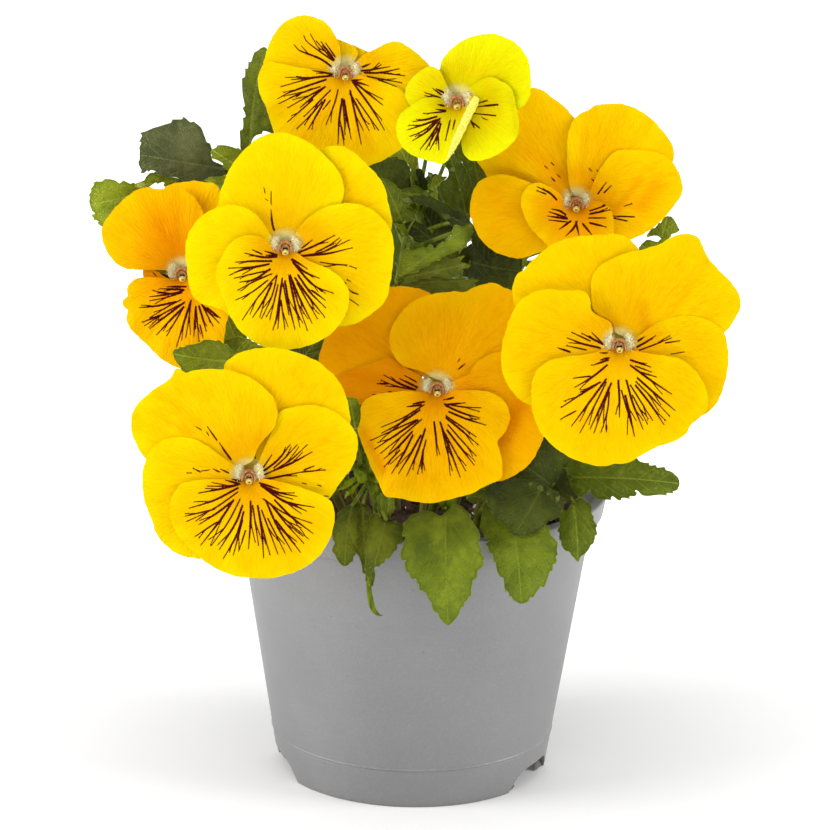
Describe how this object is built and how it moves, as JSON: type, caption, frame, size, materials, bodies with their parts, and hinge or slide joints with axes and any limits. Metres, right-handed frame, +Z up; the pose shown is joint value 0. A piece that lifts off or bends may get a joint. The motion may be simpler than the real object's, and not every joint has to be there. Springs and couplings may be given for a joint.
{
  "type": "potted pansy planter",
  "caption": "Round tapered plastic pot filled with growing medium, holding a bushy pansy plant with yellow whiskered blooms on hooked stalks above toothed leaves.",
  "frame": {"origin": "on the ground plane under the pot, centred under the whole plant's bounding box", "axes": "+Z up from the ground through the pot and the blooms; the blooms face -Y; +X is to the viewer's right when looking along +Y"},
  "size_m": [0.1956, 0.1726, 0.2412],
  "materials": {
    "pot_plastic": "grey moulded plastic with a soft sheen, a fine mould line near the foot",
    "growing_medium": "dark crumbly peat with a few pale grains",
    "petal_yellow": "thin ruffled petals, lemon to golden yellow with dark maroon whiskers round the throat",
    "green_stalk": "slender fresh green stalks, calyx and spur",
    "leaf_green": "olive green leaves with a waxy sheen, paler veins and midrib"
  },
  "bodies": {
    "root": {"bloom1_lip": "petal_yellow", "bloom1_side_left": "petal_yellow", "bloom1_side_right": "petal_yellow", "bloom1_stalk": "green_stalk", "bloom1_upper_left": "petal_yellow", "bloom1_upper_right": "petal_yellow", "bloom2_lip": "petal_yellow", "bloom2_side_left": "petal_yellow", "bloom2_side_right": "petal_yellow", "bloom2_stalk": "green_stalk", "bloom2_upper_left": "petal_yellow", "bloom2_upper_right": "petal_yellow", "bloom3_lip": "petal_yellow", "bloom3_side_left": "petal_yellow", "bloom3_side_right": "petal_yellow", "bloom3_stalk": "green_stalk", "bloom3_upper_left": "petal_yellow", "bloom3_upper_right": "petal_yellow", "bloom4_lip": "petal_yellow", "bloom4_side_left": "petal_yellow", "bloom4_side_right": "petal_yellow", "bloom4_stalk": "green_stalk", "bloom4_upper_left": "petal_yellow", "bloom4_upper_right": "petal_yellow", "bloom5_lip": "petal_yellow", "bloom5_side_left": "petal_yellow", "bloom5_side_right": "petal_yellow", "bloom5_stalk": "green_stalk", "bloom5_upper_left": "petal_yellow", "bloom5_upper_right": "petal_yellow", "bloom6_lip": "petal_yellow", "bloom6_side_left": "petal_yellow", "bloom6_side_right": "petal_yellow", "bloom6_stalk": "green_stalk", "bloom6_upper_left": "petal_yellow", "bloom6_upper_right": "petal_yellow", "bloom7_lip": "petal_yellow", "bloom7_side_left": "petal_yellow", "bloom7_side_right": "petal_yellow", "bloom7_stalk": "green_stalk", "bloom7_upper_left": "petal_yellow", "bloom7_upper_right": "petal_yellow", "bloom8_lip": "petal_yellow", "bloom8_side_left": "petal_yellow", "bloom8_side_right": "petal_yellow", "bloom8_stalk": "green_stalk", "bloom8_upper_left": "petal_yellow", "bloom8_upper_right": "petal_yellow", "growing_medium": "growing_medium", "pot": "pot_plastic", "shoot_centre": "leaf_green", "shoot_centre_rear": "leaf_green", "shoot_front_centre": "leaf_green", "shoot_front_left": "leaf_green", "shoot_front_right": "leaf_green", "shoot_left_high": "leaf_green", "shoot_left_mid": "leaf_green", "shoot_rear_left": "leaf_green", "shoot_right_high": "leaf_green", "shoot_right_low": "leaf_green"}
  },
  "joints": []
}
